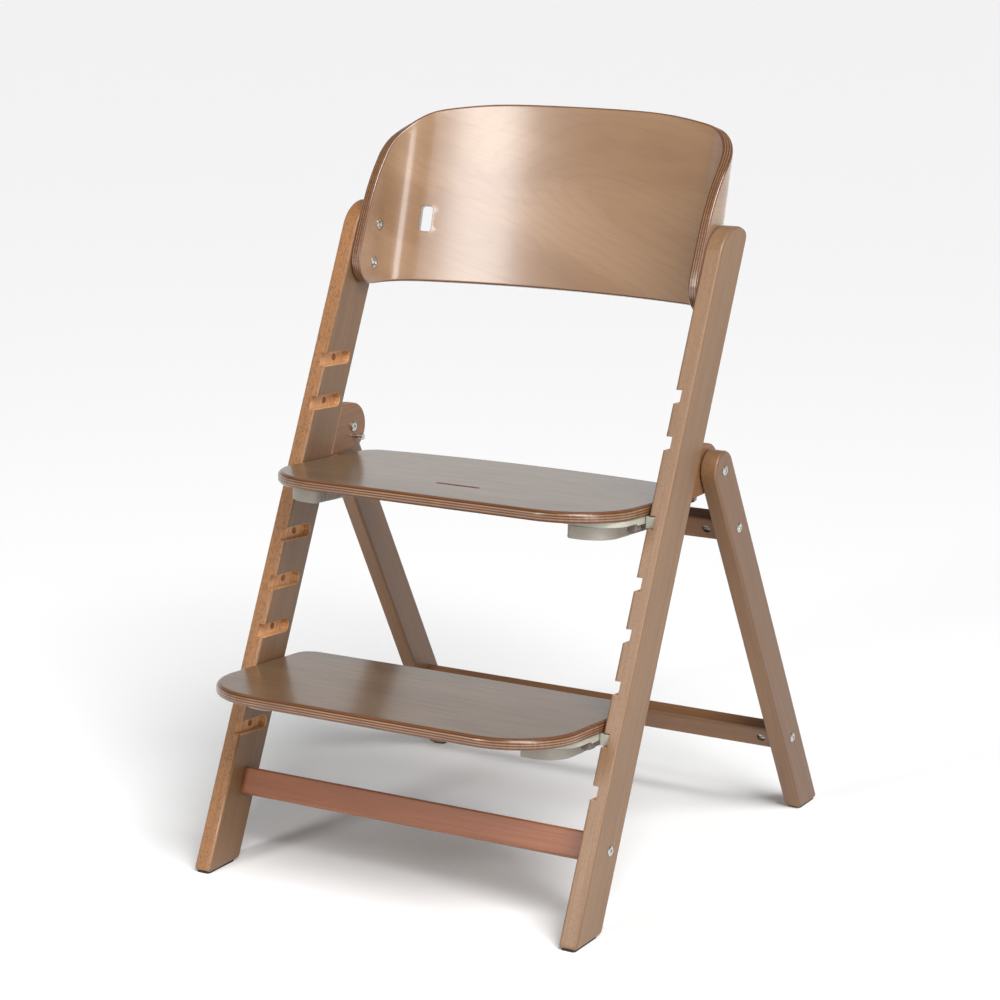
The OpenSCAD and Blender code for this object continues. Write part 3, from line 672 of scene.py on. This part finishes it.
def bar(name, node, body, wood, along_up, across, half_len, nut_side):
    """A bar along X with eased edges and a hole for each barrel nut, in its back (1) or front."""
    low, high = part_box(node)
    centre = (low + high) / 2
    matrix = blank_at((-half_len, centre.y, centre.z), across, along_up, ACROSS)
    section = rectangle(-BAR_T / 2, -BAR_H / 2, BAR_T / 2, BAR_H / 2, EASE)
    obj = solid(name, section, rim(2 * half_len, 0.0008), placed(matrix))
    drill_way = ACROSS.cross(along_up)
    outward = drill_way.dot(across) * nut_side > 0
    start, end = (-NUT_DEPTH, 0.001) if outward else (-0.001, NUT_DEPTH)
    cutters = []
    for side in (-1, 1):
        mouth = Vector((side * (half_len - NUT_IN), centre.y, centre.z))
        mouth += across * nut_side * BAR_T / 2
        cutters.append(cutter("nut_cut", circle(NUT_R, 48), [(0, start), (0, end)],
                              blank_at(mouth, ACROSS, along_up, drill_way)))
    # The grain runs along the bar
    grain = matrix @ Matrix(((0, 0, 1, 0), (0, 1, 0, 0), (1, 0, 0, 0), (0, 0, 0, 1)))
    cut(obj, cutters, grain, 0)
    finish_piece(obj, body, node, "stained_beech", wood)


bar("front_crossbar_wood", "front_crossbar", "frame", FRONT_BAR_WOOD, UP_RAIL, INTO_RAIL,
    RAIL_IN, 1)
for which in ("upper", "lower"):
    bar(f"rear_{which}_bar_wood", f"rear_{which}_bar", "rear_frame", BAR_WOOD, -DOWN_LEG,
        ACROSS_LEG, LEG_IN, -1)

# ---------------------------------------------------------------- hinge blocks and rear legs


def hinge_block(side):
    def back_at(z):
        return FRONT_Y + z * math.tan(LEAN) + RAIL_BACK_Y

    x0 = RAIL_IN if side > 0 else -BLOCK_OUT
    matrix = blank_at((x0, 0, 0), (0, 1, 0), (0, 0, 1), ACROSS)
    low, high = PIVOT.z - BLOCK_R, PIVOT.z + BLOCK_R
    end_y, end_r, joint_r = PIVOT.y + BLOCK_R, BLOCK_R * FULL_ROUND, 0.0022
    outline = rounded([
        (back_at(low), low, joint_r), (end_y, low, end_r),
        (end_y, high, end_r), (back_at(high), high, joint_r)])
    node = f"hinge_block_{side_name(side)}"
    obj = solid(f"{node}_wood", outline, rim(BLOCK_OUT - RAIL_IN, 0.002), placed(matrix))
    finish_piece(obj, "frame", node, "stained_beech", BLOCK_WOOD)


def rear_leg(side):
    def foot(v):
        return (PIVOT.z - GLIDE_T + v * math.sin(LEG_ANGLE)) / math.cos(LEG_ANGLE)

    x0 = LEG_IN if side > 0 else -LEG_OUT
    matrix = blank_at((x0, PIVOT.y, PIVOT.z), DOWN_LEG, ACROSS_LEG, ACROSS)
    half = LEG_W / 2
    outline = rounded([
        (-half, -half, half * FULL_ROUND), (foot(-half), -half, FOOT_R),
        (foot(half), half, FOOT_R), (-half, half, half * FULL_ROUND)])
    node = f"rear_leg_{side_name(side)}"
    obj = solid(f"{node}_wood", outline, rim(LEG_OUT - LEG_IN, EASE), placed(matrix))
    heads = [PIVOT + DOWN_LEG * s for s in HEADS_DOWN_LEG]
    cutters = [head_cutter("head_cut", Vector((side * LEG_OUT, head.y, head.z)), side)
               for head in heads]
    cut(obj, cutters, matrix, 0)
    finish_piece(obj, "rear_frame", node, "stained_beech", LEG_WOOD)


for piece in (hinge_block, rear_leg):
    for side in (-1, 1):
        piece(side)

# ---------------------------------------------------------------- seat and footrest

PLATE_HALF_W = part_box("seat_plate")[1].x


def plate_outline(front, back, back_r, bow_r):
    """Half the outline is worked out on the right, and the other half mirrored."""
    front_r = 0.080
    front_arc = arc(PLATE_HALF_W - front_r, front_r - front, front_r, -math.pi / 2, 0)
    corner_x = PLATE_HALF_W - back_r
    corner_v = back - bow_r + math.sqrt((bow_r - back_r) ** 2 - corner_x ** 2)
    meet = math.asin(corner_x / (bow_r - back_r))
    back_arc = arc(corner_x, corner_v, back_r, 0, math.pi / 2 - meet)
    steps = 60
    bow = [(bow_r * math.sin(a), back - bow_r + bow_r * math.cos(a))
           for a in (meet * (1 - i / steps) for i in range(steps))]
    right = front_arc + back_arc + bow
    left = [(-x, y) for x, y in reversed(right)]
    return tidy_loop(right + left)


def plate(name, node, body, top, outline, material, holes=()):
    """A plate whose upper rim is rounder than its lower one."""
    matrix = blank_at(groove_origin(top) - UP_GROOVE * PLATE_DROP, ACROSS, BACK_GROOVE, UP_GROOVE)
    obj = solid(name, outline, rim(PLATE_T, 0.003, 0.005), placed(matrix), holes,
                rim(PLATE_T, 0.0008, steps=2))
    finish_piece(obj, body, node, "plywood", material)


crotch_slot = rectangle(-0.027, -0.027, 0.027, -0.021, 0.0029)
plate("seat_wood", "seat_plate", "seat", SEAT_Z,
      plate_outline(front=0.104, back=0.158, back_r=0.030, bow_r=1.1), SEAT_PLY, [crotch_slot])
plate("footrest_wood", "footrest_plate", "footrest", FOOTREST_Z,
      plate_outline(front=0.130, back=0.100, back_r=0.022, bow_r=9.0), FOOT_PLY)


def under_matrix(top, side):
    """Blank under a plate: u outward from the middle, v back along the groove, w down."""
    origin = groove_origin(top) - UP_GROOVE * PLATE_DROP
    return blank_at(origin, side * ACROSS, BACK_GROOVE, -UP_GROOVE)


def block(name, matrix, low, high, r=0.001, ease=0.0006):
    """A box with rounded corners and eased rims, between two corners of the blank."""
    shifted = matrix @ Matrix.Translation((0, 0, low[2]))
    outline = rectangle(low[0], low[1], high[0], high[1], r)
    return solid(name, outline, rim(high[2] - low[2], ease), placed(shifted))


def mm3(*values):
    return tuple(v * MM for v in values)


def bracket(part, body, top, side):
    """A base under the plate, the tab that rides in the groove, and the boss round the pin."""
    matrix = under_matrix(top, side)
    outer, inner, front, back, r = 0.213, 0.150, -0.066, 0.044, 0.030
    base = rounded([(inner, front, 0.002), (outer, front, r), (outer, back, 0.002),
                    (inner, back, 0.002)])
    channel = rectangle(0.172, 0.015, 0.195, 0.035, 0.001)
    base_t, tab_t = 0.006, 0.0125
    tab = rounded([(0.204, 0.016, 0.004), (0.2144, 0, 0.002), (0.2249, 0, 0.0015),
                   (0.2249, 0.0436, 0.006), (0.204, 0.0436, 0.001)])
    pieces = [
        solid("base", base, rim(base_t, 0.0009), placed(matrix), [channel],
              rim(base_t, 0.0005, steps=2)),
        block("boss", matrix, mm3(195, 16, 0.5), mm3(213, 34, 13), 0.002, 0.0012),
        solid("tab", tab, rim(tab_t, 0.0008), placed(matrix)),
        block("web", matrix, mm3(197, -14, 5), mm3(213, 14, 8), 0.001),
    ]
    node = f"{part}_bracket_{side_name(side)}"
    finish_piece(join(f"{node}_moulding", pieces), body, node, "bracket_plastic", BRACKET)


def knob(part, top, side):
    """Quarter-round grip with a ribbed inner side, and the arm that carries the pin."""
    matrix = under_matrix(top, side)
    grip_top, grip_t = 0.0063, 0.0147
    shifted = matrix @ Matrix.Translation((0, 0, grip_top))
    corner = arc(0.1597, -0.059, 0.005, math.pi, 1.5 * math.pi)
    nose = arc(0.168, -0.032, 0.032, -math.pi / 2, 0)
    outline = tidy_loop(corner + nose + [(0.200, -0.008), (0.199, -0.007), (0.1547, -0.007)])
    pieces = [
        solid("grip", outline, rim(grip_t, 0.0014), placed(shifted)),
        block("arm", matrix, mm3(165, -8, 14.4), mm3(199, 35, 21), 0.003, 0.0012),
        block("lug", matrix, mm3(176, 18, 1.5), mm3(188, 32, 15), 0.001),
    ]
    # Finger ribs on the grip's inner side, and finer ones on the pad at its outer end, which is painted dark grey
    # as shade
    pieces += [block("rib", matrix, mm3(153, v, 7.6), mm3(155.6, v + 2, 19.8), 0.0007, 0.0004)
               for v in (-52 + 3.5 * i for i in range(11))]
    # The stop and its ribs take the dark pad material: painted shade
    shaded_pad = [block("stop", matrix, mm3(198, -14, 7), mm3(210.4, -1.2, 15.6), 0.0015, 0.001)]
    shaded_pad += [block("rib", matrix, mm3(209.8, v, 8.2), mm3(210.9, v + 1.3, 14.6), 0.0004, 0.0002)
            for v in (-12.6 + 2.2 * i for i in range(5))]
    for piece in shaded_pad:
        for polygon in piece.data.polygons:
            polygon.material_index = 1
    pieces += shaded_pad
    node = f"{part}_knob_{side_name(side)}"
    body = f"{part}_latch_{side_name(side)}"
    finish_piece(join(f"{node}_moulding", pieces), body, node, "knob_plastic", KNOB, SHADED_KNOB_PAD)


for side in (-1, 1):
    bracket("seat", "seat", SEAT_Z, side)
    bracket("footrest", "footrest", FOOTREST_Z, side)
    knob("seat", SEAT_Z, side)
    knob("footrest", FOOTREST_Z, side)

# ---------------------------------------------------------------- backrest

BACK_T = 12 * MM
WING_X = RAIL_IN - BACK_T  # inner faces of the wings
BEND_R = 41 * MM
CURVE_R = 714 * MM
BEND_V = 40.2 * MM
BEND_X = WING_X - BEND_R
CURVE_V = BEND_V - math.sqrt((CURVE_R - BEND_R) ** 2 - BEND_X ** 2)
CURVE_END = math.asin(BEND_X / (CURVE_R - BEND_R))  # half the middle arc's angle
BACK_Y0 = FRONT_Y + 0.284
BACK_Z0 = 0.609
Q_BEND = CURVE_R * CURVE_END  # lengths along the inner face, from the middle
Q_WING = Q_BEND + BEND_R * (math.pi / 2 - CURVE_END)


def back_section(q, t):
    """Plan position (x, v) at length q along the inner face and depth t into the sheet."""
    side = 1 if q >= 0 else -1
    q = abs(q)
    if q > Q_WING:
        return side * (WING_X + t), BEND_V - (q - Q_WING)
    if q <= Q_BEND:
        a, r, centre_x, centre_v = q / CURVE_R, CURVE_R, 0.0, CURVE_V
    else:
        a, r, centre_x, centre_v = CURVE_END + (q - Q_BEND) / BEND_R, BEND_R, BEND_X, BEND_V
    x = centre_x + r * math.sin(a) + math.sin(a) * t
    return side * x, centre_v + r * math.cos(a) + math.cos(a) * t


def on_back(q, h, t):
    """Place of a point of the flat sheet: q along it, h up it and t into it."""
    x, v = back_section(q, t)
    s, c = math.sin(BACK_LEAN), math.cos(BACK_LEAN)
    return Vector((x, BACK_Y0 + v * c + h * s, BACK_Z0 - v * s + h * c))


def length_at(v):
    """Length along the sheet where its middle layer has plan depth v, from the wing inward."""
    if v <= BEND_V:
        return Q_WING + BEND_V - v
    a = math.acos(min(1.0, (v - BEND_V) / (BEND_R + BACK_T / 2)))
    if a >= CURVE_END:
        return Q_BEND + BEND_R * (a - CURVE_END)
    return CURVE_R * math.acos(min(1.0, (v - CURVE_V) / (CURVE_R + BACK_T / 2)))


def top_height(x):
    """Height of the top edge seen from the front: a long arch with a round corner at its end."""
    top_z, arch_r, corner_r, corner_z = 0.813, 1.1, 0.05, 0.75
    corner_x = math.sqrt((arch_r - corner_r) ** 2 - (corner_z - top_z + arch_r) ** 2)
    if x > corner_x * arch_r / (arch_r - corner_r):
        return corner_z + math.sqrt(max(0.0, corner_r ** 2 - (x - corner_x) ** 2))
    arch = top_z - arch_r + math.sqrt(arch_r ** 2 - x ** 2)
    # The arch is held below the CAD's own height, passing smoothly from one to the other
    highest = cad_box[1][2] - 0.0018
    ease = 0.0016
    return -ease * math.log(math.exp(-(arch - highest) / ease) + 1) + highest


def back_outline():
    """Right half from the lower edge's middle round to the top's middle, then mirrored."""
    s, c = math.sin(BACK_LEAN), math.cos(BACK_LEAN)
    mid_t = BACK_T / 2
    curl_z, curl_r, toe_r = 0.6996, 0.205, 0.029
    toe_z = BACK_Z0 + toe_r

    def front_y(z):
        return FRONT_Y + z * math.tan(LEAN) - 0.001

    def flat(y, z):
        """A place in the side view, on the flat sheet."""
        dy, dz = y - BACK_Y0, z - BACK_Z0
        v, h = dy * c - dz * s, dy * s + dz * c
        return length_at(v), h

    # The lower edge, the toe's arc, the straight front of the wing, its curl and the top edge
    toe = Vector((front_y(toe_z) + toe_r / math.cos(LEAN), toe_z))
    q_toe = length_at((toe.x - BACK_Y0) * c)
    lower_steps, upper_steps = 70, 90
    right = []
    for i in range(lower_steps):
        q = q_toe * i / lower_steps
        right.append((q, back_section(q, mid_t)[1] * math.tan(BACK_LEAN)))
    right += [flat(*p) for p in arc(toe.x, toe.y, toe_r, -math.pi / 2, -math.pi - LEAN, 0.002)]
    z = toe.y + toe_r * math.sin(LEAN)
    while z < curl_z:
        right.append(flat(front_y(z), z))
        z += 0.003
    curl = Vector((front_y(curl_z) + curl_r * math.cos(LEAN), curl_z - curl_r * math.sin(LEAN)))
    angle = math.pi - LEAN
    while angle > 0:
        y, z = curl.x + curl_r * math.cos(angle), curl.y + curl_r * math.sin(angle)
        q, h = flat(y, z)
        if z > top_height(back_section(q, mid_t)[0]):
            break
        right.append((q, h))
        angle -= 0.012
    q_last = right[-1][0]
    for i in range(1, upper_steps + 1):
        q = q_last * (1 - i / upper_steps)
        x, v = back_section(q, mid_t)
        right.append((q, (top_height(x) - BACK_Z0 + v * s) / c))
    left = [(-q, h) for q, h in reversed(right)]
    return tidy_loop(right + left, 0.0006)


def even_loop(loop, spacing, rounds):
    """The loop with points at even spacing, its small kinks smoothed away."""
    lengths = [math.dist(a, b) for a, b in zip(loop, loop[1:] + loop[:1])]
    total = sum(lengths)
    n = int(total / spacing)
    out, k, done = [], 0, 0.0
    for i in range(n):
        want = total * i / n
        while done + lengths[k] < want:
            done += lengths[k]
            k += 1
        a, b = Vector(loop[k]), Vector(loop[(k + 1) % len(loop)])
        out.append(tuple(a.lerp(b, (want - done) / lengths[k])))
    for _ in range(rounds):
        out = [tuple((Vector(out[i - 1]) + 2 * Vector(p) + Vector(out[(i + 1) % n])) / 4)
               for i, p in enumerate(out)]
    return out


def backrest():
    outline = even_loop(back_outline(), spacing=0.0025, rounds=22)
    # The harness slot, on the left
    slot_q, slot_h = -CURVE_R * math.asin(0.170 / CURVE_R), 0.095
    half_w, half_h, slot_r = 0.007, 0.0145, 0.003
    slot = rectangle(slot_q - half_w, slot_h - half_h, slot_q + half_w, slot_h + half_h, slot_r)
    obj = solid("backrest_wood", outline, rim(BACK_T, 0.0026), on_back, [slot],
                rim(BACK_T, 0.0009, steps=2), step=0.006)
    finish_piece(obj, "frame", "backrest_panel", "plywood", BACK_PLY)


backrest()

# ---------------------------------------------------------------- CAD nodes that show as they are

# Screws, bolts, pins, dowels and floor pads
for node, obj in frame["nodes"].items():
    slot = next((p["material_slot"] for p in frame["record"]["subparts"] if p["node"] == node), "")
    material = {"steel": STEEL, "glide_pad": RUBBER, "stained_beech": BLOCK_WOOD}.get(slot)
    if material is not None and not obj.hide_render:
        obj.data.materials.clear()
        obj.data.materials.append(material)

# ---------------------------------------------------------------- floor, light and camera


def floor():
    """White paper that runs out of sight."""
    bpy.ops.mesh.primitive_plane_add(size=60, location=(0, 0, 0))
    plane = bpy.context.object
    plane.name = "floor"
    n = Nodes("floor_paper")
    n.shader.inputs["Base Color"].default_value = (0.93, 0.93, 0.93, 1)
    n.shader.inputs["Roughness"].default_value = 0.9
    n.shader.inputs["Specular IOR Level"].default_value = 0.1
    plane.data.materials.append(n.material)


def add(name, data, location, aim):
    """A light or camera that looks along aim."""
    obj = bpy.data.objects.new(name, data)
    obj.location = location
    obj.rotation_euler = Vector(aim).to_track_quat("-Z", "Y").to_euler()
    bpy.context.scene.collection.objects.link(obj)
    return obj


def softbox(name, location, target, size, power):
    light = bpy.data.lights.new(name, "AREA")
    light.shape = "RECTANGLE"
    light.size, light.size_y = size
    light.energy = power
    add(name, light, location, Vector(target) - Vector(location))


def ramp(tree, value, low, high, out_low, out_high, kind):
    made = tree.nodes.new("ShaderNodeMapRange")
    made.interpolation_type = kind
    made.inputs["From Min"].default_value = low
    made.inputs["From Max"].default_value = high
    made.inputs["To Min"].default_value = out_low
    made.inputs["To Max"].default_value = out_high
    tree.links.new(value, made.inputs["Value"])
    return made.outputs[0]


def surroundings():
    """White all round, darker overhead and in front of the chair."""
    world = bpy.data.worlds.new("studio")
    world.use_nodes = True
    bpy.context.scene.world = world
    tree = world.node_tree
    background = tree.nodes["Background"]
    coord = tree.nodes.new("ShaderNodeTexCoord")
    split = tree.nodes.new("ShaderNodeSeparateXYZ")
    tree.links.new(coord.outputs["Generated"], split.inputs[0])
    overhead = ramp(tree, split.outputs[2], 0.06, 0.4, 1.0, 0.2, "SMOOTHSTEP")
    in_front = ramp(tree, split.outputs[1], -0.5, 0.3, 0.4, 1.0, "LINEAR")
    product = tree.nodes.new("ShaderNodeMath")
    product.operation = "MULTIPLY"
    tree.links.new(overhead, product.inputs[0])
    tree.links.new(in_front, product.inputs[1])
    tree.links.new(product.outputs[0], background.inputs["Strength"])
    background.inputs["Color"].default_value = (1, 1, 1, 1)


def studio():
    """A soft key from the front right, and two boxes whose reflections run down the lacquer."""
    surroundings()
    key = bpy.data.lights.new("key", "SUN")
    key.angle = math.radians(34)
    key.energy = 3.2
    add("key", key, (0, 0, 0), (-0.62, 0.46, -0.95))
    middle = (0, 0.1, 0.68)
    softbox("strip", (2.4, -1.35, 0.95), middle, (0.9, 1.4), 26)
    softbox("front", (-0.85, -2.9, 1.75), middle, (0.6, 1.7), 38)


def camera():
    data = bpy.data.cameras.new("camera")
    data.sensor_width = 36
    data.lens = 102.93
    data.shift_x = 0.0077
    data.shift_y = 0.0239
    place = (1.5272, FRONT_Y - 2.3976, 1.1028)
    bpy.context.scene.camera = add("camera", data, place, (-0.4866, 0.8419, -0.2333))


floor()
studio()
camera()
bpy.context.scene.view_settings.view_transform = "Standard"
